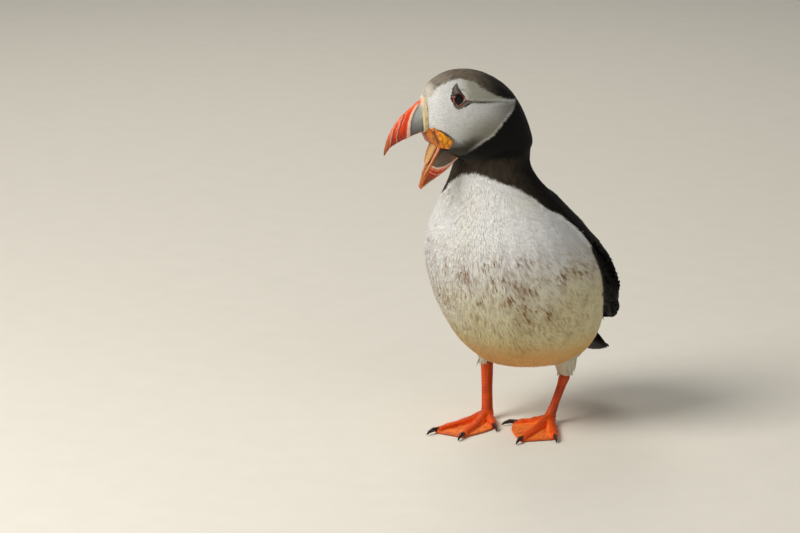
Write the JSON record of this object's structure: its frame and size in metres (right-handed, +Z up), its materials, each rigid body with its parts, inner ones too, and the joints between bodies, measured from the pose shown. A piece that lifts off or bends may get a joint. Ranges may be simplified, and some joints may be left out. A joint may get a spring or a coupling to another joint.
{
  "type": "atlantic puffin",
  "caption": "Life-size atlantic puffin standing on both webbed feet, head turned to its right and bill open, as a still museum model.",
  "frame": {"origin": "on the floor, under the middle of the bird's bounding box", "axes": "+Z up; the breast faces -Y; +X is the bird's own left side. The head is turned 30 degrees to the bird's right of -Y."},
  "size_m": [0.1032, 0.1664, 0.2128],
  "materials": {
    "white_plumage": "dense, matt, slightly silky white contour feathers, soiled on the belly",
    "black_plumage": "dense, matt black contour and flight feathers with a faint brown cast",
    "head_plumage": "very short, velvety feathers: pale grey face, blackish crown",
    "bill_horn": "semi-gloss horny plates: slate grey base, cream ridge, red-orange outer half",
    "rosette_skin": "bare wrinkled yellow-orange skin at the corner of the mouth",
    "mouth_skin": "moist orange-pink skin inside the mouth",
    "leg_skin": "scaly orange-red skin of the legs and webbed feet",
    "claw_horn": "semi-gloss blackish brown horn",
    "eye": "wet, glossy dark brown eye"
  },
  "bodies": {
    "root": {"bill_lower": "bill_horn", "bill_upper": "bill_horn", "claw_left_inner": "claw_horn", "claw_left_middle": "claw_horn", "claw_left_outer": "claw_horn", "claw_right_inner": "claw_horn", "claw_right_middle": "claw_horn", "claw_right_outer": "claw_horn", "eye_left": "eye", "eye_right": "eye", "foot_left": "leg_skin", "foot_right": "leg_skin", "head": "head_plumage", "neck": "black_plumage", "rosette_left": "rosette_skin", "rosette_right": "rosette_skin", "shank_left": "leg_skin", "shank_right": "leg_skin", "tail": "black_plumage", "thigh_left": "white_plumage", "thigh_right": "white_plumage", "tongue": "mouth_skin", "trunk": "white_plumage", "wing_left": "black_plumage", "wing_right": "black_plumage"}
  },
  "joints": []
}
